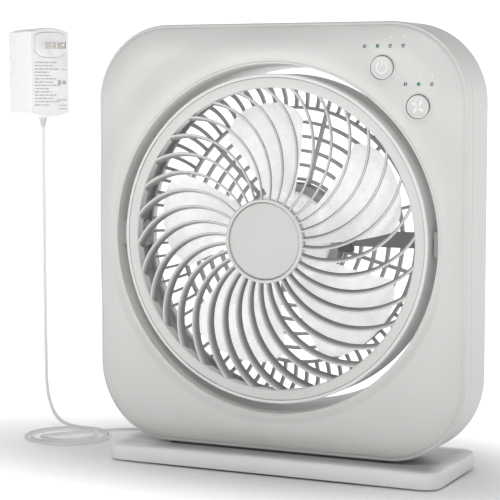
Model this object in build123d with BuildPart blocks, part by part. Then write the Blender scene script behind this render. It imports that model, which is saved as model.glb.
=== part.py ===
"""Ten-inch box fan on a flat base, with a tilting round head and a wall adapter on a cord.

Millimetres.  X right, Y to the back, Z up.  The origin is on the table, under the middle of the fan.
"""
from build123d import *
from math import atan2, cos, degrees, pi, radians, sin, sqrt, tan
import os

os.makedirs("parts", exist_ok=True)

# ---- driving dimensions -------------------------------------------------------------------------
FAN_Z = 202.0              # height of the fan's axis
FACE_Y = -40.6             # plane of the housing opening's front edge
HOUSING_W = 344.0
HOUSING_H = 368.5
HOUSING_CORNER = 68.0
HOUSING_DEPTH = 67.5
SEAM_DEPTH = 21.0          # where the front shell ends and the rear shell starts
SHELL = 2.6                # wall thickness of the housing shells
EDGE_R = 9.0               # rounding of the housing's front and rear edges
SWELL = 2.5                # the face's ring-shaped swell stands this far proud
OPENING_FRONT_R = 150.0
OPENING_REAR_R = 147.0

BASE_W = 311.0
BASE_D = 114.0
BASE_TOP = 15.5
BASE_SEAM = 6.0            # top of the plate that closes the base from below
BASE_WALL = 3.0
BASE_CORNER = 15.0
FOOT_H = 1.6

PIVOT_DEPTH = 22.0         # depth of the tilt axis behind the opening's front plane
PIN_R = 6.0
PIN_BORE_R = 6.05
RUNNING_GAP = 0.3

HEAD_R = 141.5             # outside of the round head
HEAD_WALL = 2.8
HEAD_FRONT = -0.6
HEAD_REAR = 36.0
GRILLE_OUTER_R = 138.4
GRILLE_INNER_R = 129.8
GRILLE_HUB_R = 35.8
GRILLE_HUB_FRONT = -15.9
SPOKES = 32
SPOKE_ARC_R = 73.0
SPOKE_T = 2.6
SPOKE_PHASE = 3.4          # degrees, where the first spoke leaves the hub

REAR_RINGS = [50.0 + 12.5 * i for i in range(6)]
REAR_RING_W = 2.6
REAR_FRONT, REAR_BACK = 50.5, 55.0
REAR_PLATE_R = 47.0
REAR_RIBS = 12
REAR_SLATS = 72
SLAT_T = 2.2

BLADES = 5
BLADE_TIP_R = 117.0
IMPELLER_HUB_R = 40.0
SHAFT_R = 2.5
BEARING_BORE_R = 2.53
BEARING_R = 5.0
MOTOR_R = 25.0
MOTOR_FRONT, MOTOR_REAR = 16.0, 42.0
CUP_R = 46.0
CUP_REAR = 52.0

BUTTON_R = 9.7
BUTTON_STROKE = 1.2
BUTTON_FRONT = -1.4
TIMER_XZ = (99.8, 145.9)  # button centres, from the fan's axis
SPEED_XZ = (131.4, 113.9)
TIMER_LIGHTS = [(84.4 + 11.2 * i, 163.6) for i in range(4)]
SPEED_LIGHTS = [(120.6 + 11.3 * i, 132.3) for i in range(3)]
LIT = [TIMER_LIGHTS[1], SPEED_LIGHTS[1]]
LIGHT_R = 1.5

CORD_D = 3.5
COIL_CENTRE = (-238.6, 15.2)
COIL_OUTER_R = 43.2
COIL_INNER_R = 22.0
COIL_H = 7.6
JACK_X, JACK_Z = -105.0, 52.0
ADAPTER_W, ADAPTER_D, ADAPTER_H = 46.0, 36.0, 77.0
ADAPTER_BULGE = 4.0
ADAPTER_BOTTOM = 307.5     # height of the flat part of its underside
ADAPTER_TURN = -20.0       # direction that the blades point, degrees from +X
EXIT_X, EXIT_Y = -279.4, 44.4
EXIT_SETBACK = 12.0        # the cord leaves this far behind the plug face

# The cord's two stretches.  Between them it is wound in the coil.
DROP_ROUTE = [
    (-279.4, 44.4, 294.5),
    (-279.5, 44.3, 62.0),
    (-277.8, 45.4, 31.0),
    (-270.5, 50.0, 9.0),
    (-256.0, 55.6, 1.9),
    (-243.0, 57.2, 1.85),
]
TAIL_ROUTE = [
    (-240.0, 56.2, 1.85),
    (-226.0, 60.0, 1.85),
    (-206.0, 66.5, 1.85),
    (-178.0, 71.0, 1.85),
    (-148.0, 80.0, 1.9),
    (-124.0, 93.0, 7.0),
    (-108.0, 100.0, 30.0),
    (-105.3, 86.0, 51.0),
    (-105.0, 62.0, 52.0),
]

# ---- planes and small helpers -------------------------------------------------------------------
FAN_AXIS = Axis((0, FACE_Y, FAN_Z), (0, 1, 0))
SECTION = Plane(origin=(0, FACE_Y, FAN_Z), x_dir=(1, 0, 0), z_dir=(0, 0, 1))
PIVOT_Y = FACE_Y + PIVOT_DEPTH


def face(depth):
    """The plane facing the front, depth behind the opening; its origin is on the fan's axis."""
    return Plane(origin=(0, FACE_Y + depth, FAN_Z), x_dir=(1, 0, 0), z_dir=(0, -1, 0))


def side(x):
    """The plane facing +X at x; its origin is on the tilt axis, its own x points to the back."""
    return Plane(origin=(x, PIVOT_Y, FAN_Z), x_dir=(0, 1, 0), z_dir=(1, 0, 0))


def section(*points):
    """A closed outline of (radius, depth) points, to turn about the fan's axis."""
    with BuildSketch(SECTION) as outline:
        with BuildLine():
            Polyline(*points, close=True)
        make_face()
    return outline.sketch


def ring(r_in, r_out, front, rear):
    """The outline of a ring or, from radius 0, of a disc."""
    return section((r_in, front), (r_out, front), (r_out, rear), (r_in, rear))


def opening_r(depth):
    """Radius of the housing's round opening, which narrows to the back."""
    return OPENING_FRONT_R + (OPENING_REAR_R - OPENING_FRONT_R) * depth / HOUSING_DEPTH


def grille_front(r):
    """Depth of the front grille's domed face at radius r."""
    share = (r**2 - GRILLE_HUB_R**2) / (GRILLE_INNER_R**2 - GRILLE_HUB_R**2)
    return GRILLE_HUB_FRONT * (1 - share)


def finish(built, label):
    """Name a piece and write it."""
    built.part.label = label
    export_step(built.part, f"parts/{label}.step")


# ---- housing: front shell -----------------------------------------------------------------------
POST_SPOTS = [(-148, -148), (148, -148), (-148, 148), (150, 150), (0, -168), (0, 168)]
POST_R = 4.5
SCREW_R = 1.5
BLOCK_HALF_H, BLOCK_FRONT, BLOCK_REAR = 11.5, 9.0, 35.0
BLOCK_IN, BLOCK_OUT = 143.0, 156.0

with BuildPart() as front_shell:
    with BuildSketch(face(0)):
        RectangleRounded(HOUSING_W, HOUSING_H, HOUSING_CORNER)
    extrude(amount=-SEAM_DEPTH)
    fillet(front_shell.faces().sort_by(Axis.Y)[0].edges(), EDGE_R)
    revolve(
        section((150.0, -1.0), (152.5, -1.0), (154.0, 0.5), (157.0, -1.6), (161.0, -SWELL),
                (164.5, -SWELL), (168.0, 0.5), (160.0, 4.0), (150.0, 4.0)),
        axis=FAN_AXIS,
    )
    for start, inset in ((SHELL, EDGE_R), (EDGE_R, SHELL)):
        with BuildSketch(face(start)):
            RectangleRounded(HOUSING_W - 2 * inset, HOUSING_H - 2 * inset, HOUSING_CORNER - inset)
        extrude(amount=-SEAM_DEPTH, mode=Mode.SUBTRACT)
    revolve(
        section((opening_r(0), 0), (opening_r(0) + SHELL, 0),
                (opening_r(SEAM_DEPTH) + SHELL, SEAM_DEPTH), (opening_r(SEAM_DEPTH), SEAM_DEPTH)),
        axis=FAN_AXIS,
    )
    with BuildSketch(face(SHELL)):
        with Locations(*POST_SPOTS):
            Circle(POST_R)
    extrude(amount=SHELL - SEAM_DEPTH)
    with BuildSketch(face(SHELL + 4)):
        with Locations(*POST_SPOTS):
            Circle(SCREW_R)
    extrude(amount=-SEAM_DEPTH, mode=Mode.SUBTRACT)
    revolve(
        section((0, -10), (opening_r(0), -10), (opening_r(0), 0),
                (opening_r(SEAM_DEPTH), SEAM_DEPTH), (0, SEAM_DEPTH)),
        axis=FAN_AXIS, mode=Mode.SUBTRACT,
    )
    with BuildSketch(face(-10)):
        with Locations(TIMER_XZ, SPEED_XZ):
            Circle(BUTTON_R + RUNNING_GAP)
        with Locations(*TIMER_LIGHTS, *SPEED_LIGHTS):
            Circle(LIGHT_R)
    extrude(amount=-16, mode=Mode.SUBTRACT)
    with BuildSketch(face(BLOCK_FRONT)):
        with Locations((-BLOCK_OUT + 6, 0), (BLOCK_OUT - 6, 0)):
            Rectangle(28, 2 * BLOCK_HALF_H)
    extrude(amount=-SEAM_DEPTH, mode=Mode.SUBTRACT)
finish(front_shell, "front_shell")

# ---- housing: rear shell ------------------------------------------------------------------------
with BuildPart() as rear_shell:
    with BuildSketch(face(SEAM_DEPTH)):
        RectangleRounded(HOUSING_W, HOUSING_H, HOUSING_CORNER)
    extrude(amount=SEAM_DEPTH - HOUSING_DEPTH)
    fillet(rear_shell.faces().sort_by(Axis.Y)[-1].edges(), EDGE_R)
    for stop, inset in ((HOUSING_DEPTH - SHELL, EDGE_R), (HOUSING_DEPTH - EDGE_R, SHELL)):
        with BuildSketch(face(SEAM_DEPTH)):
            RectangleRounded(HOUSING_W - 2 * inset, HOUSING_H - 2 * inset, HOUSING_CORNER - inset)
        extrude(amount=SEAM_DEPTH - stop, mode=Mode.SUBTRACT)
    revolve(
        section((opening_r(SEAM_DEPTH), SEAM_DEPTH), (opening_r(SEAM_DEPTH) + SHELL, SEAM_DEPTH),
                (OPENING_REAR_R + SHELL, HOUSING_DEPTH), (OPENING_REAR_R, HOUSING_DEPTH)),
        axis=FAN_AXIS,
    )
    with BuildSketch(face(SEAM_DEPTH)):
        with Locations(*POST_SPOTS):
            Circle(POST_R)
    extrude(amount=SEAM_DEPTH - HOUSING_DEPTH + 1)
    with BuildSketch(face(SEAM_DEPTH)):
        with Locations(*POST_SPOTS):
            Circle(SCREW_R + 0.2)
    extrude(amount=SEAM_DEPTH - HOUSING_DEPTH, mode=Mode.SUBTRACT)
    with BuildSketch(face(HOUSING_DEPTH - 20)):
        with Locations(*POST_SPOTS):
            Circle(POST_R - 1.4)
    extrude(amount=-30, mode=Mode.SUBTRACT)
    revolve(
        section((0, SEAM_DEPTH), (opening_r(SEAM_DEPTH), SEAM_DEPTH),
                (OPENING_REAR_R, HOUSING_DEPTH), (0, HOUSING_DEPTH)),
        axis=FAN_AXIS, mode=Mode.SUBTRACT,
    )
    with BuildSketch(face(SEAM_DEPTH)):
        with Locations((-BLOCK_OUT + 6, 0), (BLOCK_OUT - 6, 0)):
            Rectangle(28, 2 * BLOCK_HALF_H)
    extrude(amount=SEAM_DEPTH - BLOCK_REAR, mode=Mode.SUBTRACT)
    with BuildSketch(face(HOUSING_DEPTH - 10)):
        with Locations((JACK_X, JACK_Z - FAN_Z)):
            Circle(5.6)
    extrude(amount=-20, mode=Mode.SUBTRACT)
finish(rear_shell, "rear_shell")

# ---- housing: fasteners -------------------------------------------------------------------------
with BuildPart() as housing_screws:
    with BuildSketch(face(12)):
        with Locations(*POST_SPOTS):
            Circle(SCREW_R)
    extrude(amount=12 - HOUSING_DEPTH + 20)
    with BuildSketch(face(HOUSING_DEPTH - 20)):
        with Locations(*POST_SPOTS):
            Circle(POST_R - 1.7)
    extrude(amount=-2.2)
finish(housing_screws, "housing_screws")

# ---- tilt pivots, fixed to the housing ----------------------------------------------------------
PIN_IN, PIN_OUT = 130.0, 158.0

with BuildPart() as pivot_blocks:
    for sign in (-1, 1):
        with BuildSketch(side(sign * BLOCK_IN)):
            with Locations(((BLOCK_FRONT + BLOCK_REAR) / 2 - PIVOT_DEPTH, 0)):
                RectangleRounded(BLOCK_REAR - BLOCK_FRONT, 2 * BLOCK_HALF_H, 3)
            Circle(PIN_BORE_R, mode=Mode.SUBTRACT)
        extrude(amount=sign * (BLOCK_OUT - BLOCK_IN))
finish(pivot_blocks, "pivot_blocks")

with BuildPart() as pivot_pins:
    for sign in (-1, 1):
        with BuildSketch(side(sign * PIN_IN)):
            Circle(PIN_R)
            Circle(PIN_R - 2.2, mode=Mode.SUBTRACT)
        extrude(amount=sign * (PIN_OUT - PIN_IN))
        with BuildSketch(side(sign * BLOCK_OUT)):
            Circle(PIN_R + 2.5)
            Circle(PIN_R - 2.2, mode=Mode.SUBTRACT)
        extrude(amount=sign * (PIN_OUT - BLOCK_OUT))
finish(pivot_pins, "pivot_pins")

# ---- controls -----------------------------------------------------------------------------------
BOARD_FRONT = 10.5
BOARD_T = 1.6
SWITCH_GAP = 0.2
BOARD_SPOTS = [(88, 154), (146, 98)]

for name, spot in (("timer_button", TIMER_XZ), ("speed_button", SPEED_XZ)):
    with BuildPart() as button:
        with BuildSketch(face(BUTTON_FRONT)):
            with Locations(spot):
                Circle(BUTTON_R)
        extrude(amount=BUTTON_FRONT - 5.2)
        fillet(button.faces().sort_by(Axis.Y)[0].edges(), 0.8)
        with BuildSketch(face(5.2)):
            with Locations(spot):
                Circle(2.0)
        extrude(amount=-1.6)
    finish(button, name)

with BuildPart() as control_board:
    with BuildSketch(face(BOARD_FRONT)):
        with BuildLine():
            Polyline((76, 172), (76, 158), (121, 98), (146, 88), (152, 94), (152, 138),
                     (125, 172), close=True)
        make_face()
        with Locations(*BOARD_SPOTS):
            Circle(SCREW_R + 0.2, mode=Mode.SUBTRACT)
    extrude(amount=-BOARD_T)
finish(control_board, "control_board")

with BuildPart() as tact_switches:
    with BuildSketch(face(8.5)):
        with Locations(TIMER_XZ, SPEED_XZ):
            Rectangle(6, 6)
    extrude(amount=8.5 - BOARD_FRONT)
    with BuildSketch(face(6.8 + BUTTON_STROKE + SWITCH_GAP)):
        with Locations(TIMER_XZ, SPEED_XZ):
            Circle(1.8)
    extrude(amount=-0.4)
finish(tact_switches, "tact_switches")

for name, spots in (
    ("indicator_lights_off", [s for s in TIMER_LIGHTS + SPEED_LIGHTS if s not in LIT]),
    ("indicator_lights_lit", LIT),
):
    with BuildPart() as lights:
        with BuildSketch(face(-0.2)):
            with Locations(*spots):
                Circle(LIGHT_R - 0.1)
        extrude(amount=-0.2 - BOARD_FRONT + 0.2)
    finish(lights, name)

with BuildPart() as board_screws:
    with BuildSketch(face(BOARD_FRONT - 6)):
        with Locations(*BOARD_SPOTS):
            Circle(SCREW_R)
    extrude(amount=-(6 + BOARD_T))
    with BuildSketch(face(BOARD_FRONT + BOARD_T)):
        with Locations(*BOARD_SPOTS):
            Circle(2.8)
    extrude(amount=-1.8)
finish(board_screws, "board_screws")

with BuildPart() as dc_jack:
    with BuildSketch(face(HOUSING_DEPTH - 14)):
        with Locations((JACK_X, JACK_Z - FAN_Z)):
            Circle(5.5)
    extrude(amount=-14)
    with BuildSketch(face(HOUSING_DEPTH - 11)):
        with Locations((JACK_X, JACK_Z - FAN_Z)):
            Circle(2.85)
    extrude(amount=-20, mode=Mode.SUBTRACT)
finish(dc_jack, "dc_jack")

# ---- base ---------------------------------------------------------------------------------------
STAND_W, STAND_D = 214.0, 44.0
STAND_Y = FACE_Y + HOUSING_DEPTH / 2
HOUSING_BOTTOM = FAN_Z - HOUSING_H / 2
STAND_SCREWS = [(-90, STAND_Y), (-30, STAND_Y), (30, STAND_Y), (90, STAND_Y)]
BASE_SCREWS = [(-100, -44), (100, -44), (-100, 44), (100, 44)]
FOOT_SPOTS = [(-128, -44), (128, -44), (-128, 44), (128, 44)]

with BuildPart() as base_cover:
    with BuildSketch(Plane.XY.offset(FOOT_H)):
        RectangleRounded(BASE_W, BASE_D, BASE_CORNER)
    extrude(amount=BASE_TOP - FOOT_H)
    fillet(base_cover.faces().sort_by(Axis.Z)[-1].edges(), 2.2)
    with BuildSketch(Plane.XY.offset(FOOT_H)):
        RectangleRounded(BASE_W - 2 * BASE_WALL, BASE_D - 2 * BASE_WALL, BASE_CORNER - BASE_WALL)
    extrude(amount=BASE_TOP - FOOT_H - BASE_WALL, mode=Mode.SUBTRACT)
    with BuildSketch(Plane.XY.offset(BASE_SEAM)):
        with Locations(*BASE_SCREWS):
            Circle(4)
    extrude(amount=BASE_TOP - BASE_SEAM - 1)
    with BuildSketch(Plane.XY.offset(BASE_SEAM - 1)):
        with Locations(*BASE_SCREWS):
            Circle(SCREW_R)
    extrude(amount=7, mode=Mode.SUBTRACT)
    with BuildSketch(Plane.XY.offset(BASE_SEAM)):
        with Locations(*STAND_SCREWS):
            Circle(2.2)
    extrude(amount=20, mode=Mode.SUBTRACT)
finish(base_cover, "base_cover")

with BuildPart() as base_plate:
    with BuildSketch(Plane.XY.offset(FOOT_H)):
        RectangleRounded(BASE_W - 2 * BASE_WALL - 0.4, BASE_D - 2 * BASE_WALL - 0.4,
                         BASE_CORNER - BASE_WALL - 0.2)
    extrude(amount=BASE_SEAM - FOOT_H)
    with BuildSketch(Plane.XY.offset(FOOT_H - 1)):
        with Locations(*BASE_SCREWS):
            Circle(SCREW_R + 0.2)
        with Locations(*STAND_SCREWS):
            Circle(4.2)
    extrude(amount=20, mode=Mode.SUBTRACT)
    with BuildSketch(Plane.XY.offset(FOOT_H - 1)):
        with Locations(*BASE_SCREWS):
            Circle(3.2)
        with Locations(*FOOT_SPOTS):
            SlotOverall(26, 12)
    extrude(amount=2.8, mode=Mode.SUBTRACT)
finish(base_plate, "base_plate")

with BuildPart() as rubber_feet:
    with BuildSketch():
        with Locations(*FOOT_SPOTS):
            SlotOverall(25.4, 11.4)
    extrude(amount=FOOT_H + 1.8)
finish(rubber_feet, "rubber_feet")

with BuildPart() as base_screws:
    with BuildSketch(Plane.XY.offset(FOOT_H + 0.2)):
        with Locations(*BASE_SCREWS):
            Circle(2.8)
    extrude(amount=1.6)
    with BuildSketch(Plane.XY.offset(FOOT_H + 1.8)):
        with Locations(*BASE_SCREWS):
            Circle(SCREW_R)
    extrude(amount=8)
finish(base_screws, "base_screws")

with BuildPart() as stand_neck:
    with BuildSketch(Plane.XY.offset(BASE_TOP)):
        with Locations((0, STAND_Y)):
            RectangleRounded(STAND_W, STAND_D, 8)
        with Locations(*STAND_SCREWS):
            Circle(2.2, mode=Mode.SUBTRACT)
    extrude(amount=HOUSING_BOTTOM - BASE_TOP)
finish(stand_neck, "stand_neck")

with BuildPart() as stand_screws:
    with BuildSketch(Plane.XY.offset(BASE_SEAM + 4)):
        with Locations(*STAND_SCREWS):
            Circle(2.0)
    extrude(amount=HOUSING_BOTTOM - BASE_SEAM - 4)
    with BuildSketch(Plane.XY.offset(BASE_SEAM + 4)):
        with Locations(*STAND_SCREWS):
            Circle(3.8)
    extrude(amount=2.4)
finish(stand_screws, "stand_screws")

# ---- head: ring, rear grille, motor parts -------------------------------------------------------
LEDGE_FRONT, LEDGE_REAR = 3.2, 5.6
LUGS = 4
LUG_ARC = 14.0
LUG_TWIST = 16.0
BOSS_IN = 131.5
BUSH_R = 9.0

with BuildPart() as head_ring:
    revolve(ring(HEAD_R - HEAD_WALL, HEAD_R, HEAD_FRONT, HEAD_REAR), axis=FAN_AXIS)
    fillet(head_ring.faces().sort_by(Axis.Y)[0].outer_wire().edges(), 1.2)
    revolve(ring(135.4, HEAD_R - HEAD_WALL / 2, LEDGE_FRONT, LEDGE_REAR), axis=FAN_AXIS)
    for lug in range(LUGS):
        start = 45 + 90 * lug + LUG_TWIST - LUG_ARC / 2 - 2
        with BuildSketch(face(LEDGE_FRONT - 1)):
            with BuildLine():
                inner = CenterArc((0, 0), 133, start, LUG_ARC + 4)
                outer = CenterArc((0, 0), HEAD_R - HEAD_WALL, start, LUG_ARC + 4)
                Line(inner @ 0, outer @ 0)
                Line(inner @ 1, outer @ 1)
            make_face()
        extrude(amount=-5, mode=Mode.SUBTRACT)
    for sign in (-1, 1):
        with BuildSketch(side(sign * BOSS_IN)):
            Circle(BUSH_R + 2.5)
        extrude(amount=sign * (HEAD_R - 1.2 - BOSS_IN))
    for sign in (-1, 1):
        with BuildSketch(side(sign * (BOSS_IN - 1))):
            Circle(BUSH_R)
        extrude(amount=sign * 20, mode=Mode.SUBTRACT)
finish(head_ring, "head_ring")

with BuildPart() as pivot_bushes:
    for sign in (-1, 1):
        with BuildSketch(side(sign * BOSS_IN)):
            Circle(BUSH_R)
            Circle(PIN_BORE_R, mode=Mode.SUBTRACT)
        extrude(amount=sign * (HEAD_R + 0.2 - BOSS_IN))
finish(pivot_bushes, "pivot_bushes")

with BuildPart() as friction_washers:
    for sign in (-1, 1):
        with BuildSketch(side(sign * (HEAD_R + 0.2))):
            Circle(BUSH_R + 1.5)
            Circle(PIN_BORE_R, mode=Mode.SUBTRACT)
        extrude(amount=sign * 1.0)
finish(friction_washers, "friction_washers")

SHOULDER_OUT = (139.6, HEAD_REAR + 3.0)
SHOULDER_MID = (132.8, 50.2)
SHOULDER_IN = (112.0, REAR_BACK)
SLAT_DEPTH = 4.0

with BuildPart() as rear_grille:
    with BuildSketch(SECTION):
        with BuildLine():
            outside = ThreePointArc(SHOULDER_OUT, SHOULDER_MID, SHOULDER_IN)
            inside = ThreePointArc(
                (SHOULDER_OUT[0] - SLAT_DEPTH, SHOULDER_OUT[1]),
                (SHOULDER_MID[0] - 2.9, SHOULDER_MID[1] - 2.7),
                (SHOULDER_IN[0], SHOULDER_IN[1] - SLAT_DEPTH),
            )
            Line(outside @ 0, inside @ 0)
            Line(outside @ 1, inside @ 1)
        make_face()
    revolve(axis=FAN_AXIS)
    with BuildSketch(face(0)):
        with PolarLocations(125, REAR_SLATS):
            Rectangle(40, SLAT_T)
    extrude(amount=-70, mode=Mode.INTERSECT)
    revolve(ring(135.6, HEAD_R, HEAD_REAR, HEAD_REAR + 3.5), axis=FAN_AXIS)
    for radius in REAR_RINGS:
        revolve(
            ring(radius - REAR_RING_W / 2, radius + REAR_RING_W / 2, REAR_FRONT, REAR_BACK),
            axis=FAN_AXIS,
        )
    with BuildSketch(face(REAR_FRONT)):
        with PolarLocations(80.25, REAR_RIBS, start_angle=15):
            Rectangle(67.5, REAR_RING_W)
    extrude(amount=REAR_FRONT - REAR_BACK)
    revolve(ring(0, REAR_PLATE_R, CUP_REAR, REAR_BACK), axis=FAN_AXIS)
    with BuildSketch(face(HEAD_REAR - 1)):
        with PolarLocations(138.6, 6, start_angle=30):
            Circle(1.3)
    extrude(amount=-8, mode=Mode.SUBTRACT)
finish(rear_grille, "rear_grille")

with BuildPart() as grille_screws:
    with BuildSketch(face(HEAD_REAR)):
        with PolarLocations(138.6, 6, start_angle=30):
            Circle(1.2)
    extrude(amount=-5.5)
finish(grille_screws, "grille_screws")

MOTOR_SPOT_R = 15.0
CONDUIT_REAR = 50.2
CONDUIT_W = 13.5

with BuildPart() as motor_cup:
    revolve(
        section((4, MOTOR_REAR), (CUP_R, MOTOR_REAR), (CUP_R, CUP_REAR), (CUP_R - 2.5, CUP_REAR),
                (CUP_R - 2.5, MOTOR_REAR + 2.5), (4, MOTOR_REAR + 2.5)),
        axis=FAN_AXIS,
    )
    with BuildSketch(face(MOTOR_REAR)):
        with Locations((50.5, 0)):
            Rectangle(12, 24)
    extrude(amount=MOTOR_REAR - CONDUIT_REAR)
    revolve(ring(4, CUP_R - 2.5, MOTOR_REAR + 2.5, CUP_REAR), axis=FAN_AXIS, mode=Mode.SUBTRACT)
    with BuildSketch(face(MOTOR_REAR - 1)):
        with PolarLocations(MOTOR_SPOT_R, 3):
            Circle(SCREW_R + 0.2)
    extrude(amount=-5, mode=Mode.SUBTRACT)
finish(motor_cup, "motor_cup")

with BuildPart() as wire_conduit:
    with BuildSketch(SECTION):
        with BuildLine():
            Polyline((56.5, 43.5), (119, 43.5), (124.5, 34), (130.5, 30), (130.5, 38), (128, 44.5),
                     (121, 48.5), (110, CONDUIT_REAR), (56.5, CONDUIT_REAR), close=True)
        make_face()
    extrude(amount=CONDUIT_W / 2, both=True)
    with BuildSketch(face(45.5)):
        with Locations((79, 0)):
            Rectangle(45, CONDUIT_W - 3.5)
    extrude(amount=-10, mode=Mode.SUBTRACT)
finish(wire_conduit, "wire_conduit")

with BuildPart() as motor_can:
    revolve(
        section((BEARING_R, MOTOR_FRONT), (MOTOR_R, MOTOR_FRONT), (MOTOR_R, MOTOR_REAR),
                (BEARING_R, MOTOR_REAR), (BEARING_R, 38), (17.5, 37), (17.5, 21), (BEARING_R, 20)),
        axis=FAN_AXIS,
    )
    with BuildSketch(face(36.5)):
        with PolarLocations(MOTOR_SPOT_R, 3):
            Circle(SCREW_R)
    extrude(amount=-10, mode=Mode.SUBTRACT)
finish(motor_can, "motor_can")

with BuildPart() as motor_screws:
    with BuildSketch(face(38)):
        with PolarLocations(MOTOR_SPOT_R, 3):
            Circle(SCREW_R)
    extrude(amount=38 - MOTOR_REAR - 2.5)
    with BuildSketch(face(MOTOR_REAR + 2.5)):
        with PolarLocations(MOTOR_SPOT_R, 3):
            Circle(2.8)
    extrude(amount=-2)
finish(motor_screws, "motor_screws")

for name, front in (("front_bearing", 16.0), ("rear_bearing", 38.0)):
    with BuildPart() as bearing:
        revolve(ring(BEARING_BORE_R, BEARING_R, front, front + 4), axis=FAN_AXIS)
    finish(bearing, name)

# ---- front grille, twists off -------------------------------------------------------------------
def spoke_outline():
    """One swirled spoke seen from the front: a band that leaves the hub straight, along +x."""
    centre = (GRILLE_HUB_R, SPOKE_ARC_R)
    with BuildSketch(Plane.XY) as outline:
        with BuildLine():
            near = CenterArc(centre, SPOKE_ARC_R - SPOKE_T / 2, -91, 93)
            far = CenterArc(centre, SPOKE_ARC_R + SPOKE_T / 2, -91, 93)
            Line(near @ 0, far @ 0)
            Line(near @ 1, far @ 1)
        make_face()
    return outline.sketch


with BuildPart() as front_grille:
    with BuildSketch(face(-22)):
        with PolarLocations(0, SPOKES, start_angle=SPOKE_PHASE):
            add(spoke_outline())
    extrude(amount=-40)
    middle = (GRILLE_HUB_R + GRILLE_INNER_R) / 2
    with BuildSketch(SECTION):
        with BuildLine():
            front = ThreePointArc(
                (GRILLE_HUB_R - 1.5, grille_front(GRILLE_HUB_R)),
                (middle, grille_front(middle)),
                (GRILLE_INNER_R + 1, 0.2),
            )
            rear = ThreePointArc(
                (GRILLE_HUB_R - 1.5, grille_front(GRILLE_HUB_R) + 6),
                (middle, grille_front(middle) + 7.5),
                (GRILLE_INNER_R + 1, 8.7),
            )
            Line(front @ 0, rear @ 0)
            Line(front @ 1, rear @ 1)
        make_face()
    revolve(axis=FAN_AXIS, mode=Mode.INTERSECT)
    revolve(
        section((GRILLE_INNER_R, HEAD_FRONT), (GRILLE_OUTER_R, HEAD_FRONT), (GRILLE_OUTER_R, 2.4),
                (GRILLE_INNER_R + 2, 2.4), (GRILLE_INNER_R + 2, 9.7), (GRILLE_INNER_R, 9.7)),
        axis=FAN_AXIS,
    )
    revolve(
        section((33.2, -16.5), (GRILLE_HUB_R, GRILLE_HUB_FRONT), (GRILLE_HUB_R, -9.5), (0, -9.5),
                (0, -11.5), (33.2, -11.5)),
        axis=FAN_AXIS,
    )
    for lug in range(LUGS):
        with BuildSketch(face(LEDGE_REAR + 0.3)):
            with BuildLine():
                inner = CenterArc((0, 0), GRILLE_INNER_R + 1, 45 + 90 * lug - LUG_ARC / 2, LUG_ARC)
                outer = CenterArc((0, 0), GRILLE_OUTER_R - 0.2, 45 + 90 * lug - LUG_ARC / 2, LUG_ARC)
                Line(inner @ 0, outer @ 0)
                Line(inner @ 1, outer @ 1)
            make_face()
        extrude(amount=-2.4)
finish(front_grille, "front_grille")

with BuildPart() as hub_cap:
    revolve(section((0, -15.2), (32, -15.2), (32.9, -14.6), (32.9, -11.5), (0, -11.5)),
            axis=FAN_AXIS)
finish(hub_cap, "hub_cap")

# ---- impeller -----------------------------------------------------------------------------------
BLADE_SECTIONS = [(37.0, 42.0, 38.0), (75.0, 66.0, 30.0), (118.5, 78.0, 24.0)]
BLADE_T = 1.8
BLADE_DEPTH = 24.0
BLADE_START = 93.0        # direction of the first blade, degrees

with BuildPart() as impeller:
    for blade in range(BLADES):
        heading = BLADE_START + 72 * blade
        for radius, chord, pitch in BLADE_SECTIONS:
            outward = Vector(cos(radians(heading)), 0, sin(radians(heading)))
            along = Vector(-sin(radians(heading)), 0, cos(radians(heading)))
            slope = along * cos(radians(pitch)) + Vector(0, 1, 0) * sin(radians(pitch))
            place = Vector(0, FACE_Y + BLADE_DEPTH, FAN_Z) + outward * radius
            with BuildSketch(Plane(origin=place, x_dir=slope, z_dir=outward)):
                SlotOverall(chord, BLADE_T)
        loft(ruled=False)
    revolve(ring(0, BLADE_TIP_R, 4, 44), axis=FAN_AXIS, mode=Mode.INTERSECT)
    revolve(
        section((0, 10), (30, 10), (36, 13), (38, 18), (IMPELLER_HUB_R, 20), (IMPELLER_HUB_R, 38),
                (0, 38)),
        axis=FAN_AXIS,
    )
    revolve(
        section((7, 12.5), (29.5, 12.5), (33.5, 15.5), (37.5, 21.5), (37.5, 40), (0, 40), (0, 14.5),
                (7, 14.5)),
        axis=FAN_AXIS, mode=Mode.SUBTRACT,
    )
    revolve(ring(0, SHAFT_R, 4, 44), axis=FAN_AXIS, mode=Mode.SUBTRACT)
finish(impeller, "impeller")

with BuildPart() as motor_shaft:
    revolve(ring(0, SHAFT_R, 3.5, 43.5), axis=FAN_AXIS)
finish(motor_shaft, "motor_shaft")

with BuildPart() as motor_rotor:
    revolve(ring(SHAFT_R, 15.0, 22.5, 35.5), axis=FAN_AXIS)
finish(motor_rotor, "motor_rotor")

with BuildPart() as impeller_nut:
    with BuildSketch(face(5)):
        RegularPolygon(8, 6)
        Circle(SHAFT_R, mode=Mode.SUBTRACT)
    extrude(amount=-5)
finish(impeller_nut, "impeller_nut")

# ---- wall adapter -------------------------------------------------------------------------------
OUT = Vector(cos(radians(ADAPTER_TURN)), sin(radians(ADAPTER_TURN)), 0)
MODULE_Z = ADAPTER_BOTTOM + ADAPTER_H - 13.0
ADAPTER_FACE = Plane(
    origin=Vector(EXIT_X, EXIT_Y, ADAPTER_BOTTOM) + OUT * EXIT_SETBACK, z_dir=OUT,
    x_dir=Vector(-sin(radians(ADAPTER_TURN)), cos(radians(ADAPTER_TURN)), 0),
)
CASE_SPLIT = 9.0


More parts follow.
